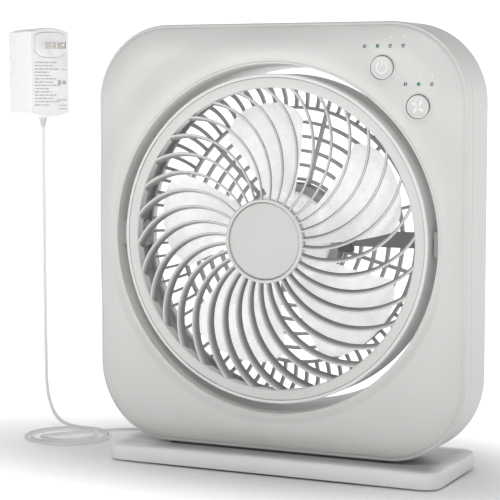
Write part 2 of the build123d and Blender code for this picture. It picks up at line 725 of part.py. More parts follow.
def adapter_outline(grow):
    """The adapter's upright outline with its arched top and bottom, grown by grow all round."""
    half = ADAPTER_W / 2 + grow
    with BuildSketch(Plane.XY) as outline:
        with BuildLine():
            low = ThreePointArc((-half, -grow), (0, -ADAPTER_BULGE - grow), (half, -grow))
            high = ThreePointArc(
                (-half, ADAPTER_H + grow), (0, ADAPTER_H + ADAPTER_BULGE + grow), (half, ADAPTER_H + grow)
            )
            Line(low @ 0, high @ 0)
            Line(low @ 1, high @ 1)
        make_face()
    return outline.sketch


WALL = 2.0
with BuildPart() as adapter_front_case:
    with BuildSketch(ADAPTER_FACE):
        add(adapter_outline(0))
    extrude(amount=-CASE_SPLIT)
    with BuildSketch(ADAPTER_FACE.offset(-WALL)):
        add(adapter_outline(-WALL))
    extrude(amount=-CASE_SPLIT, mode=Mode.SUBTRACT)
finish(adapter_front_case, "adapter_front_case")

with BuildPart() as adapter_rear_case:
    with BuildSketch(ADAPTER_FACE.offset(-CASE_SPLIT)):
        add(adapter_outline(0))
    extrude(amount=CASE_SPLIT - ADAPTER_D)
    with BuildSketch(ADAPTER_FACE.offset(-CASE_SPLIT)):
        add(adapter_outline(-WALL))
    extrude(amount=CASE_SPLIT - ADAPTER_D + WALL, mode=Mode.SUBTRACT)
finish(adapter_rear_case, "adapter_rear_case")

with BuildPart() as adapter_board:
    with BuildSketch(ADAPTER_FACE.offset(-20)):
        with Locations((0, ADAPTER_H / 2)):
            Rectangle(38, 60)
    extrude(amount=-1.6)
finish(adapter_board, "adapter_board")

with BuildPart() as plug_module:
    with BuildSketch(ADAPTER_FACE):
        with Locations((0, MODULE_Z - ADAPTER_BOTTOM)):
            RectangleRounded(36, 20, 7)
    extrude(amount=1.2)
    with BuildSketch(ADAPTER_FACE):
        with Locations((-6.35, MODULE_Z - ADAPTER_BOTTOM), (6.35, MODULE_Z - ADAPTER_BOTTOM)):
            Rectangle(1.6, 6.4)
    extrude(amount=3, mode=Mode.SUBTRACT)
finish(plug_module, "plug_module")

with BuildPart() as plug_blades:
    for offset_x in (-6.35, 6.35):
        with BuildSketch(ADAPTER_FACE):
            with Locations((offset_x, MODULE_Z - ADAPTER_BOTTOM)):
                Rectangle(1.5, 6.3)
        extrude(amount=17)
finish(plug_blades, "plug_blades")

with BuildPart() as strain_relief:
    with BuildSketch(Plane(origin=(EXIT_X, EXIT_Y, ADAPTER_BOTTOM - ADAPTER_BULGE + 1.5))):
        Circle(4.6)
    with BuildSketch(Plane(origin=(EXIT_X, EXIT_Y, DROP_ROUTE[0][2]))):
        Circle(2.4)
    loft()
finish(strain_relief, "strain_relief")


# ---- cord ---------------------------------------------------------------------------------------
def cord_path(route, name):
    """Straight runs joined by the largest tangent arcs that they allow, and their total length."""
    points = [Vector(*point) for point in route]
    radii = []
    for before, at, after in zip(points, points[1:], points[2:]):
        turn = radians((at - before).get_angle(after - at))
        shorter = min((at - before).length, (after - at).length)
        radii.append(0.45 * shorter / tan(turn / 2))
    print(name, "radii in diameters", [round(radius / CORD_D, 1) for radius in radii])
    return points, radii


for name, route in (("cord_drop", DROP_ROUTE), ("cord_tail", TAIL_ROUTE)):
    points, radii = cord_path(route, name)
    with BuildPart() as cord:
        with BuildLine() as path:
            FilletPolyline(*points, radius=radii)
        with BuildSketch(Plane(origin=points[0], z_dir=points[1] - points[0])):
            Circle(CORD_D / 2)
        sweep(path=path.wires()[0])
    length = path.wires()[0].length
    share = cord.part.volume / (pi * CORD_D**2 / 4 * length)
    print(name, "length", round(length, 1), "volume against section times length", round(share, 3))
    finish(cord, name)

with BuildPart() as cord_coil:
    with BuildSketch(Plane.XY):
        with Locations(COIL_CENTRE):
            Circle(COIL_OUTER_R)
            Circle(COIL_INNER_R, mode=Mode.SUBTRACT)
    extrude(amount=COIL_H)
    fillet(cord_coil.edges().filter_by(GeomType.CIRCLE), 1.6)
finish(cord_coil, "cord_coil")

with BuildPart() as dc_plug:
    plug_front = HOUSING_DEPTH - 9
    with BuildSketch(face(plug_front)):
        with Locations((JACK_X, JACK_Z - FAN_Z)):
            Circle(2.75)
    extrude(amount=-9.2)
    with BuildSketch(face(HOUSING_DEPTH + 0.1)):
        with Locations((JACK_X, JACK_Z - FAN_Z)):
            Circle(5.0)
    extrude(amount=-22)
    with BuildSketch(face(HOUSING_DEPTH + 22.1)):
        with Locations((JACK_X, JACK_Z - FAN_Z)):
            Circle(3.8)
    extrude(amount=HOUSING_DEPTH + 22.1 - (TAIL_ROUTE[-1][1] - FACE_Y), taper=8)
finish(dc_plug, "dc_plug")
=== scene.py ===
"""How the ten-inch box fan looks: moulded shells, swirled grille, frosted blades, cord and adapter.

Metres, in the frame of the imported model.  Distances along the fan's axis are called depth: 0 is the
front edge of the housing's round opening, and depth grows to the back.
"""
from math import cos, hypot, pi, radians, sin, sqrt

import bmesh
import bpy
from mathutils import Euler, Matrix, Vector


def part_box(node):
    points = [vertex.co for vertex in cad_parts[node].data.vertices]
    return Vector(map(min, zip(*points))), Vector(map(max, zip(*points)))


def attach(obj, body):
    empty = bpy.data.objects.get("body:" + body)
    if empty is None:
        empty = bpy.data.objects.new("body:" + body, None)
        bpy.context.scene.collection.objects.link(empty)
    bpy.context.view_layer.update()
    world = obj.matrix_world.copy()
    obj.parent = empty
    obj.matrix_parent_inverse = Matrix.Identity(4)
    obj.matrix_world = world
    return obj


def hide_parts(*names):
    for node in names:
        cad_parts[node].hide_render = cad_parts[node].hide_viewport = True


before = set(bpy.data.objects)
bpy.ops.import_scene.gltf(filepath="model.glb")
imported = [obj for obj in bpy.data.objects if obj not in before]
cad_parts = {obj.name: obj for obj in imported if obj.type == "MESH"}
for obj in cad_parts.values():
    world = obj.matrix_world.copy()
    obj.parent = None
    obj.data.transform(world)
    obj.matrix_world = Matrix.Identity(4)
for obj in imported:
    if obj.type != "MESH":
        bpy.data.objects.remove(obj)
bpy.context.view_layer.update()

# ---- places taken from the frame ----------------------------------------------------------------
MM = 0.001
ring_low, ring_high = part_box("head_ring")
shell_low, shell_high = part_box("front_shell")
FAN_Z = (ring_low.z + ring_high.z) / 2 / MM
FACE_Y = ring_low.y / MM + 0.6
HALF_W = shell_high.x / MM
HALF_H = (shell_high.z - shell_low.z) / 2 / MM
CORNER = 68.0
SEAM = shell_high.y / MM - FACE_Y
OPENING_R, OPENING_TAPER = 150.0, 3.0 / 67.5


def at(x, depth, z):
    """A point in metres from millimetres: x and z from the fan's axis, depth behind its face."""
    return Vector((x * MM, (FACE_Y + depth) * MM, (FAN_Z + z) * MM))


def button_centre(node):
    """A button's (x, z) from the fan's axis."""
    low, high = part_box(node)
    return ((low.x + high.x) / 2 / MM, (low.z + high.z) / 2 / MM - FAN_Z)


TIMER, SPEED = button_centre("timer_button"), button_centre("speed_button")
BUTTON_R = (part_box("timer_button")[1].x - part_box("timer_button")[0].x) / 2 / MM
TIMER_LIGHTS = [(84.4 + 11.2 * i, 163.6) for i in range(4)]
SPEED_LIGHTS = [(120.6 + 11.3 * i, 132.3) for i in range(3)]
LIT = [TIMER_LIGHTS[1], SPEED_LIGHTS[1]]


# ---- camera, light and floor --------------------------------------------------------------------
def add_camera():
    camera = bpy.data.objects.new("camera", bpy.data.cameras.new("camera"))
    camera.location = (0.6141, -1.3964, 0.3300)
    camera.rotation_euler = Euler((radians(84.75), 0, radians(25.07)))
    camera.data.lens = 125.8
    bpy.context.scene.collection.objects.link(camera)
    bpy.context.scene.camera = camera


def add_area_light(name, place, target, size, power):
    light = bpy.data.objects.new(name, bpy.data.lights.new(name, "AREA"))
    light.data.shape = "RECTANGLE"
    light.data.size, light.data.size_y = size
    light.data.energy = power
    light.location = place
    light.rotation_euler = (Vector(target) - Vector(place)).to_track_quat("-Z", "Y").to_euler()
    bpy.context.scene.collection.objects.link(light)


def add_studio():
    """A room that is white behind the fan and dimmer in front, with soft lights round it."""
    world = bpy.data.worlds.new("studio")
    world.use_nodes = True
    nodes, links = world.node_tree.nodes, world.node_tree.links
    background = nodes["Background"]
    background.inputs["Color"].default_value = (1.0, 1.0, 1.0, 1)
    direction = nodes.new("ShaderNodeTexCoord")
    split = nodes.new("ShaderNodeSeparateXYZ")
    links.new(direction.outputs["Generated"], split.inputs["Vector"])
    rear = nodes.new("ShaderNodeMapRange")
    rear.inputs["From Min"].default_value, rear.inputs["From Max"].default_value = 0.0, 0.35
    rear.inputs["To Min"].default_value, rear.inputs["To Max"].default_value = 0.0, 1.05
    links.new(split.outputs["Y"], rear.inputs["Value"])
    low = nodes.new("ShaderNodeMapRange")
    low.inputs["From Min"].default_value, low.inputs["From Max"].default_value = 0.15, 0.5
    low.inputs["To Min"].default_value, low.inputs["To Max"].default_value = 1.0, 0.3
    links.new(split.outputs["Z"], low.inputs["Value"])
    strength = nodes.new("ShaderNodeMath")
    strength.operation = "MULTIPLY_ADD"
    strength.inputs[2].default_value = 0.12
    links.new(rear.outputs["Result"], strength.inputs[0])
    links.new(low.outputs["Result"], strength.inputs[1])
    links.new(strength.outputs["Value"], background.inputs["Strength"])
    bpy.context.scene.world = world
    bpy.context.scene.view_settings.view_transform = "Standard"
    middle = (0, 0, 0.22)
    add_area_light("key", (0.35, -1.45, 1.75), middle, (0.8, 0.8), 14.6)
    add_area_light("fill", (-0.9, -2.0, 0.5), middle, (1.0, 1.0), 3.8)
    add_area_light("side", (2.2, 0.5, 0.6), middle, (1.0, 1.4), 2.7)


def add_floor():
    """A pale floor with a painted glow that fades in to white away from the fan, and none near and
    under its base, so it stays dim there.
    """
    size = 60.0
    mesh = bpy.data.meshes.new("floor")
    corners = [(-size, -size, 0), (size, -size, 0), (size, size, 0), (-size, size, 0)]
    mesh.from_pydata(corners, [], [(0, 1, 2, 3)])
    floor = bpy.data.objects.new("floor", mesh)
    bpy.context.scene.collection.objects.link(floor)
    paint = moulded("floor_paint", (0.88, 0.88, 0.875), 0.6, grain=0.0, mottle=0.0,
                    emission=((1, 1, 1), 0.1))
    nodes, links = paint.node_tree.nodes, paint.node_tree.links
    place = nodes.new("ShaderNodeTexCoord")
    stretch = nodes.new("ShaderNodeVectorMath")
    stretch.operation = "MULTIPLY"
    stretch.inputs[1].default_value = (0.4, 1.0, 1.0)
    links.new(place.outputs["Object"], stretch.inputs[0])
    reach = nodes.new("ShaderNodeVectorMath")
    reach.operation = "LENGTH"
    links.new(stretch.outputs["Vector"], reach.inputs[0])
    # Painted light: the floor's glow grows from nothing near the fan to full strength farther off.
    glow = nodes.new("ShaderNodeMapRange")
    glow.inputs["From Min"].default_value, glow.inputs["From Max"].default_value = 0.06, 0.25
    glow.inputs["To Min"].default_value, glow.inputs["To Max"].default_value = 0.0, 1.0
    links.new(reach.outputs["Value"], glow.inputs["Value"])
    links.new(glow.outputs["Result"], nodes["Principled BSDF"].inputs["Emission Strength"])
    mesh.materials.append(paint)


# ---- materials ----------------------------------------------------------------------------------
def moulded(name, colour, roughness, grain=0.12, grain_size=900.0, mottle=0.02, metallic=0.0,
            transmission=0.0, emission=None, grain_depth=0.00012, painted_shade=None):
    """A moulded or metal surface: fine grain in its relief, with slightly uneven colour and gloss.

    emission is (colour, strength).  recess is painted shade: what the colour is multiplied by
    at points whose stored recess is 1.
    """
    material = bpy.data.materials.new(name)
    material.use_nodes = True
    nodes, links = material.node_tree.nodes, material.node_tree.links
    shader = nodes["Principled BSDF"]
    shader.inputs["Metallic"].default_value = metallic
    shader.inputs["Transmission Weight"].default_value = transmission
    if emission:
        shader.inputs["Emission Color"].default_value = (*emission[0], 1)
        shader.inputs["Emission Strength"].default_value = emission[1]
    place = nodes.new("ShaderNodeTexCoord")
    cloud = nodes.new("ShaderNodeTexNoise")
    cloud.inputs["Scale"].default_value = 22.0
    cloud.inputs["Detail"].default_value = 3.0
    links.new(place.outputs["Object"], cloud.inputs["Vector"])
    tint = nodes.new("ShaderNodeValToRGB")
    tint.color_ramp.elements[0].position, tint.color_ramp.elements[1].position = 0.3, 0.7
    tint.color_ramp.elements[0].color = (*[c * (1 - mottle) for c in colour], 1)
    tint.color_ramp.elements[1].color = (*[min(1, c * (1 + mottle)) for c in colour], 1)
    links.new(cloud.outputs["Fac"], tint.inputs["Fac"])
    links.new(tint.outputs["Color"], shader.inputs["Base Color"])
    # Painted shade: the colour is multiplied down where a piece stores a recess value.
    if painted_shade:
        depth = nodes.new("ShaderNodeAttribute")
        depth.attribute_name = "painted_shade"
        darken = nodes.new("ShaderNodeMix")
        darken.data_type, darken.blend_type = "RGBA", "MULTIPLY"
        colour_in = [socket for socket in darken.inputs if socket.type == "RGBA"]
        colour_in[1].default_value = (painted_shade, painted_shade, painted_shade, 1)
        links.new(depth.outputs["Fac"], darken.inputs["Factor"])
        links.new(tint.outputs["Color"], colour_in[0])
        links.new([socket for socket in darken.outputs if socket.type == "RGBA"][0],
                  shader.inputs["Base Color"])
    gloss = nodes.new("ShaderNodeMapRange")
    gloss.inputs["To Min"].default_value = max(0.02, roughness - 0.05)
    gloss.inputs["To Max"].default_value = min(1.0, roughness + 0.05)
    links.new(cloud.outputs["Fac"], gloss.inputs["Value"])
    links.new(gloss.outputs["Result"], shader.inputs["Roughness"])
    if grain:
        fine = nodes.new("ShaderNodeTexNoise")
        fine.inputs["Scale"].default_value = grain_size
        fine.inputs["Detail"].default_value = 2.0
        links.new(place.outputs["Object"], fine.inputs["Vector"])
        relief = nodes.new("ShaderNodeBump")
        relief.inputs["Strength"].default_value = grain
        relief.inputs["Distance"].default_value = grain_depth
        links.new(fine.outputs["Fac"], relief.inputs["Height"])
        links.new(relief.outputs["Normal"], shader.inputs["Normal"])
    return material


SHELL = moulded("shell_plastic", (0.665, 0.665, 0.650), 0.42, grain=0.25)
GRILLE = moulded("grille_plastic", (0.66, 0.66, 0.645), 0.40, grain=0.15)
# The fins' recess factor is painted shade on their sides and rear.
FINS = moulded("fin_plastic", (0.68, 0.68, 0.665), 0.36, grain=0.15, painted_shade=0.35)
CAP = moulded("cap_plastic", (0.62, 0.62, 0.61), 0.36, grain=0.12)
# The base's recess factor is painted shade for its top.
BASE = moulded("base_plastic", (0.93, 0.93, 0.92), 0.33, grain=0.2, painted_shade=0.54)
# The drum's faint white emission is a painted glow that lightens it.
DRUM = moulded("drum_plastic", (0.72, 0.72, 0.71), 0.45, grain=0.15, emission=((1, 1, 1), 0.05))
REAR = moulded("rear_plastic", (0.40, 0.40, 0.395), 0.45, grain=0.2)
# The blades' white emission is a painted glow standing in for light coming through the frosted
# plastic.
BLADE = moulded("blade_plastic", (0.93, 0.93, 0.94), 0.30, grain=0.8, grain_size=75.0, mottle=0.08,
                transmission=0.30, emission=((1, 1, 1), 0.20), grain_depth=0.004)
DARK = moulded("dark_plastic", (0.11, 0.115, 0.12), 0.45, grain=0.2)
CONDUIT = moulded("conduit_plastic", (0.20, 0.20, 0.205), 0.45, grain=0.2)
MID_GREY = moulded("grey_plastic", (0.42, 0.42, 0.42), 0.5, grain=0.2)
SLEEVE = moulded("sleeve_plastic", (0.72, 0.72, 0.73), 0.5, grain=0.2)
BLACK = moulded("black_plastic", (0.02, 0.02, 0.022), 0.4, grain=0.2)
RUBBER = moulded("foot_rubber", (0.035, 0.035, 0.035), 0.8, grain=0.5, grain_size=500)
# The adapter's faint white emission is a painted glow that brightens it.
ADAPTER = moulded("adapter_plastic", (0.88, 0.88, 0.89), 0.28, grain=0.06,
                  emission=((1, 1, 1), 0.06))
FAINT_INK = moulded("printed_grey", (0.50, 0.50, 0.51), 0.5, grain=0.0)
INK = moulded("printed_white", (0.86, 0.86, 0.86), 0.5, grain=0.0)
CORD = moulded("cord_jacket", (0.86, 0.86, 0.87), 0.38, grain=0.1, grain_size=600)
STEEL = moulded("screw_steel", (0.62, 0.62, 0.63), 0.28, grain=0.1, metallic=1.0)
MOTOR = moulded("motor_steel", (0.35, 0.36, 0.38), 0.4, grain=0.2, metallic=1.0)
BRONZE = moulded("bearing_bronze", (0.55, 0.38, 0.20), 0.35, grain=0.2, metallic=1.0)
NICKEL = moulded("blade_metal", (0.78, 0.76, 0.70), 0.22, grain=0.08, metallic=1.0)
BOARD = moulded("circuit_board", (0.03, 0.14, 0.07), 0.4, grain=0.2)
LENS = moulded("clear_lens", (0.85, 0.86, 0.86), 0.2, grain=0.0, transmission=0.3)
GREEN = moulded("lit_lens", (0.05, 0.26, 0.08), 0.25, grain=0.0,
                emission=((0.10, 0.55, 0.16), 0.25))

CAD_FINISH = {
    "front_shell": SHELL, "rear_shell": SHELL, "housing_screws": STEEL, "base_cover": BASE,
    # base_plate gets dark plastic as painted shade, darkening the gap line under the base.
    "base_plate": DARK, "rubber_feet": RUBBER, "base_screws": STEEL, "stand_neck": DARK,
    "stand_screws": STEEL, "control_board": BOARD, "board_screws": STEEL, "tact_switches": BLACK,
    # pivot_blocks and pivot_pins get the rear grille's darker plastic as painted shade, so they blend
    # into the shaded gap round the head.
    "indicator_lights_off": LENS, "indicator_lights_lit": GREEN, "pivot_blocks": REAR,
    "pivot_pins": REAR, "dc_jack": BLACK, "adapter_front_case": ADAPTER,
    "adapter_rear_case": ADAPTER, "adapter_board": BOARD, "plug_module": ADAPTER,
    "plug_blades": NICKEL, "strain_relief": MID_GREY, "cord_drop": CORD, "cord_coil": CORD,
    "cord_tail": CORD, "dc_plug": BLACK, "head_ring": DRUM, "rear_grille": REAR,
    "motor_cup": DARK, "wire_conduit": CONDUIT, "motor_can": MOTOR, "front_bearing": BRONZE,
    "rear_bearing": BRONZE, "motor_screws": STEEL, "grille_screws": STEEL, "pivot_bushes": MID_GREY,
    "friction_washers": RUBBER, "front_grille": GRILLE, "hub_cap": CAP, "impeller": BLADE,
    "motor_shaft": STEEL, "motor_rotor": MOTOR, "impeller_nut": BLACK, "timer_button": SHELL,
    "speed_button": SHELL,
}


CUP_MIDDLE_X, DRUM_WALL_R, DRUM_LIP_DEPTH = 44.6, 139.5, 6.0


def finish_cad_nodes():
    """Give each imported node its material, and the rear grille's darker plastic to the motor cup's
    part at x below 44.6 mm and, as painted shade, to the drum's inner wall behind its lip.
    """
    for node, material in CAD_FINISH.items():
        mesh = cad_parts[node].data
        mesh.materials.clear()
        mesh.materials.append(material)
    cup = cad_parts["motor_cup"].data
    cup.materials.append(REAR)
    for polygon in cup.polygons:
        polygon.material_index = 1 if polygon.center.x < CUP_MIDDLE_X * MM else 0
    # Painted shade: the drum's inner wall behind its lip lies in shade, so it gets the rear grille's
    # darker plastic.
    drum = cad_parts["head_ring"].data
    drum.materials.append(REAR)
    for polygon in drum.polygons:
        middle = polygon.center
        inside = hypot(middle.x / MM, middle.z / MM - FAN_Z) < DRUM_WALL_R
        behind_lip = middle.y / MM > FACE_Y + DRUM_LIP_DEPTH
        polygon.material_index = 1 if inside and behind_lip else 0


# ---- building meshes ----------------------------------------------------------------------------
def face_outwards(mesh):
    work = bmesh.new()
    work.from_mesh(mesh)
    bmesh.ops.recalc_face_normals(work, faces=work.faces)
    work.to_mesh(mesh)
    work.free()


def piece(name, points, faces, material, body, slot, replaces=(), smooth=True):
    """A mesh piece from points in metres, riding on a body."""
    mesh = bpy.data.meshes.new(name)
    mesh.from_pydata(points, [], faces)
    mesh.validate()
    face_outwards(mesh)
    mesh.materials.append(material)
    for polygon in mesh.polygons:
        polygon.use_smooth = smooth and len(polygon.vertices) <= 4
    made = bpy.data.objects.new(name, mesh)
    bpy.context.scene.collection.objects.link(made)
    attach(made, body)
    if replaces:
        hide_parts(*replaces)
    return made


def strip(first, second, count, closed=True):
    """Quads between two rows of count points that start at first and second."""
    last = count if closed else count - 1
    return [(first + i, first + (i + 1) % count, second + (i + 1) % count, second + i)
            for i in range(last)]


def loft(rows, closed_rows=True, cap=False, closed_path=False):
    """Points and quads of a surface through rows that have the same number of points."""
    count = len(rows[0])
    points = [point for row in rows for point in row]
    faces = []
    for i in range(len(rows) - 1):
        faces += strip(i * count, (i + 1) * count, count, closed_rows)
    if closed_path:
        faces += strip((len(rows) - 1) * count, 0, count, closed_rows)
    if cap:
        faces.append(tuple(reversed(range(count))))
        faces.append(tuple(range((len(rows) - 1) * count, len(rows) * count)))
    return points, faces


def join(*parts):
    """One mesh's points and faces from several."""
    points, faces = [], []
    for more_points, more_faces in parts:
        start = len(points)
        points += more_points
        faces += [tuple(start + index for index in face) for face in more_faces]
    return points, faces


def turned(profile, steps=192, closed=False, centre=(0, 0)):
    """A profile of (radius, depth) points turned about an axis along the depth."""
    rows = []
    for radius, depth in profile:
        rows.append([
            at(centre[0] + radius * cos(2 * pi * i / steps), depth,
               centre[1] + radius * sin(2 * pi * i / steps))
            for i in range(steps)
        ])
    return loft(rows, closed_path=closed)


def shade_by_angle(made, angle=35):
    """Keep edges sharper than angle crisp."""
    made.data.set_sharp_from_angle(angle=radians(angle))


def set_painted_shade(made, value_of):
    """Store painted shade for each point of a piece, 0 to 1, for materials with a recess."""
    painted_shade = made.data.attributes.new("painted_shade", "FLOAT", "POINT")
    for index, entry in enumerate(painted_shade.data):
        entry.value = value_of(index)


def apply_modifiers(made):
    depsgraph = bpy.context.evaluated_depsgraph_get()
    baked = bpy.data.meshes.new_from_object(made.evaluated_get(depsgraph))
    old = made.data
    made.modifiers.clear()
    made.data = baked
    bpy.data.meshes.remove(old)


def cut(made, *tools):
    """Take the tools' volume out of a piece, then remove the tools."""
    for tool in tools:
        hole = made.modifiers.new("cut", "BOOLEAN")
        hole.operation = "DIFFERENCE"
        hole.solver = "EXACT"
        hole.object = tool
    apply_modifiers(made)
    for tool in tools:
        bpy.data.objects.remove(tool)


def cutting_tool(name, points, faces):
    """A solid for cut(), facing outwards as an exact cut needs."""
    mesh = bpy.data.meshes.new(name)
    mesh.from_pydata(points, [], faces)
    face_outwards(mesh)
    tool = bpy.data.objects.new(name, mesh)
    bpy.context.scene.collection.objects.link(tool)
    return tool


def drill(centres, radius, front, rear, steps=64):
    """A tool with one round bar per centre, for cut()."""
    bars = []
    for centre in centres:
        rows = [[at(centre[0] + radius * cos(2 * pi * i / steps), depth,
                    centre[1] + radius * sin(2 * pi * i / steps)) for i in range(steps)]
                for depth in (front, rear)]
        bars.append(loft(rows, cap=True))
    return cutting_tool("drill", *join(*bars))


# ---- the cord -----------------------------------------------------------------------------------
DROP_ROUTE = [
    (-279.4, 44.4, 294.5),
    (-279.5, 44.3, 62.0),
    (-277.8, 45.4, 31.0),
    (-270.5, 50.0, 9.0),
    (-256.0, 55.6, 1.9),
]
TAIL_ROUTE = [
    (-206.0, 66.5, 1.85),
    (-178.0, 71.0, 1.85),
    (-148.0, 80.0, 1.9),
    (-124.0, 93.0, 7.0),
    (-108.0, 100.0, 30.0),
    (-105.3, 86.0, 51.0),
    (-105.0, 62.0, 52.0),
]
CORD_D = 3.5
TURNS, TURN_STEPS = 2.62, 16


def coil_route():
    """The loose turns on the floor, clockwise from above: each turn is smaller and off centre."""
    points = []
    start, total = 76.0, TURNS * 360.0
    steps = int(TURNS * TURN_STEPS)
    for i in range(steps + 1):
        share = i / steps
        turn = TURNS * share
        angle = radians(start - total * share)
        radius = 42.0 - 3.9 * min(turn, 1.25) - 9.5 * max(0.0, turn - 1.25)
        drift = max(0.0, turn - 1.2)
        x = -238.6 - 2.0 * drift + radius * cos(angle)
        y = 15.2 + 2.5 * drift + radius * sin(angle)
        points.append((x, y, 1.85))
    return points


def add_cord():
    route = DROP_ROUTE + coil_route() + TAIL_ROUTE
    curve = bpy.data.curves.new("power_cord", "CURVE")
    curve.dimensions = "3D"
    curve.bevel_depth = CORD_D / 2 * MM
    curve.bevel_resolution = 5
    curve.resolution_u = 8
    spline = curve.splines.new("NURBS")
    spline.points.add(len(route) - 1)
    for point, place in zip(spline.points, route):
        point.co = (*[value * MM for value in place], 1)
    spline.order_u = 3
    spline.use_endpoint_u = True
    curve.materials.append(CORD)
    cord = bpy.data.objects.new("power_cord", curve)
    bpy.context.scene.collection.objects.link(cord)
    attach(cord, "housing")
    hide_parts("cord_drop", "cord_coil", "cord_tail")


# ---- housing ------------------------------------------------------------------------------------
def outline_radius(angle, inset):
    """How far the housing's rounded square reaches from the fan's axis in a direction."""
    c, s = abs(cos(angle)), abs(sin(angle))
    half_w, half_h, corner = HALF_W - inset, HALF_H - inset, CORNER - inset
    reach = min(half_w / max(c, 1e-9), half_h / max(s, 1e-9))
    corner_x, corner_z = half_w - corner, half_h - corner
    if reach * c > corner_x and reach * s > corner_z:
        along = corner_x * c + corner_z * s
        reach = along + sqrt(along**2 - corner_x**2 - corner_z**2 + corner**2)
    return reach


def edge_distance(x, z):
    """How far inside the housing's outline a point is."""
    over_x, over_z = abs(x) - (HALF_W - CORNER), abs(z) - (HALF_H - CORNER)
    return CORNER - hypot(max(over_x, 0), max(over_z, 0)) - min(max(over_x, over_z), 0)


PILLOW_W, PILLOW_DROP, RIM = 26.0, 6.8, 2.2
SWELL, SWELL_IN, SWELL_W = 2.5, 161.0, 26.0       # height, inner radius and width of its fade
DISH_W, DISH_DEPTH = 5.2, 0.9                     # the shallow dish round each button


def face_depth(x, z):
    """Depth of the front face: a ring-shaped swell, a pillowed edge, a rim, and button dishes."""
    inside, radius = edge_distance(x, z), hypot(x, z)
    depth = PILLOW_DROP * (max(0.0, PILLOW_W - inside) / (PILLOW_W - RIM)) ** 2
    if inside < RIM:
        depth = PILLOW_DROP + RIM - sqrt(max(0.0, RIM**2 - (RIM - inside) ** 2))
    fade = min(1.0, max(0.0, (radius - SWELL_IN) / SWELL_W))
    depth -= SWELL * (1 - fade * fade * (3 - 2 * fade))
    for centre in (TIMER, SPEED):
        near = hypot(x - centre[0], z - centre[1]) - BUTTON_R
        if near < DISH_W:
            share = max(0.0, min(1.0, near / DISH_W))
            depth += DISH_DEPTH * (1 - share * share * (3 - 2 * share))
    return depth


BUTTON_GAP, LENS_HOLE = 0.45, 1.5
DRILL_FRONT, DRILL_REAR = -8, 12                  # depths that pass right through the front wall
WALL_T = 2.2
LIP = [(150.0, 0.6), (150.0, -0.4), (150.15, -0.8), (150.5, -1.0), (151.1, -1.0), (151.6, -0.85)]


def build_front_shell():
    """The front half of the housing, from the opening's wall over the face to the seam."""
    steps = 720
    angles = [2 * pi * (i + 0.5) / steps for i in range(steps)]
    rows = []

    def add_row(radius_of, depth_of):
        row = []
        for angle in angles:
            radius = radius_of(angle)
            x, z = radius * cos(angle), radius * sin(angle)
            row.append(at(x, depth_of(x, z), z))
        rows.append(row)

    wall = [(OPENING_R - OPENING_TAPER * depth, depth) for depth in (SEAM, 14.0, 7.0, 2.0)]
    for radius, depth in wall + LIP:
        add_row(lambda angle: radius, lambda x, z: depth)
    for i in range(9):
        share = i / 8
        rise = share * share * (3 - 2 * share)
        add_row(lambda angle: 152.2 + 8.0 * share,
                lambda x, z: -0.3 + (face_depth(x, z) + 0.3) * rise)
    face_rows = 26
    for i in range(face_rows):
        share = i / (face_rows - 1)
        add_row(lambda angle: SWELL_IN + (outline_radius(angle, RIM + 0.9) - SWELL_IN) * share,
                face_depth)
    for inset in (RIM + 0.55, RIM + 0.25):
        add_row(lambda angle: outline_radius(angle, inset), lambda x, z: face_depth(x, z) + 0.45)
    for inset in (RIM, 1.8, 1.4, 1.0, 0.7, 0.4, 0.2, 0.05):
        add_row(lambda angle: outline_radius(angle, inset), face_depth)
    side = ((0.0, 9.2), (0.0, 14.0), (0.0, SEAM - 0.8), (0.15, SEAM - 0.3), (0.6, SEAM))
    for inset, depth in side:
        add_row(lambda angle: outline_radius(angle, inset), lambda x, z: depth)
    shell = piece("front_shell_skin", *loft(rows), SHELL, "housing", "white_plastic",
                  ["front_shell"])
    wall = shell.modifiers.new("wall", "SOLIDIFY")
    wall.thickness = WALL_T * MM
    wall.offset = -1 if shell.data.polygons[steps * 20].normal.y < 0 else 1
    apply_modifiers(shell)
    face_outwards(shell.data)
    cut(shell, drill([TIMER, SPEED], BUTTON_R + BUTTON_GAP, DRILL_FRONT, DRILL_REAR),
        drill(TIMER_LIGHTS + SPEED_LIGHTS, LENS_HOLE, DRILL_FRONT, DRILL_REAR, steps=32))
    shade_by_angle(shell, 40)


# ---- base ---------------------------------------------------------------------------------------
BASE_CORNER, BASE_ROUND = 15.0, 2.6


def base_row(inset, height, half_w, half_d):
    """One level of the base: a rectangle with rounded corners, as points in metres."""
    corner = BASE_CORNER - min(inset, BASE_CORNER - 1.0)
    row = []
    for quarter, (sx, sy) in enumerate(((1, 1), (-1, 1), (-1, -1), (1, -1))):
        for i in range(13):
            angle = radians(90 * quarter + 90 * i / 12)
            row.append(Vector((sx * (half_w - inset - corner) + corner * cos(angle),
                               sy * (half_d - inset - corner) + corner * sin(angle), height)) * MM)
    return row


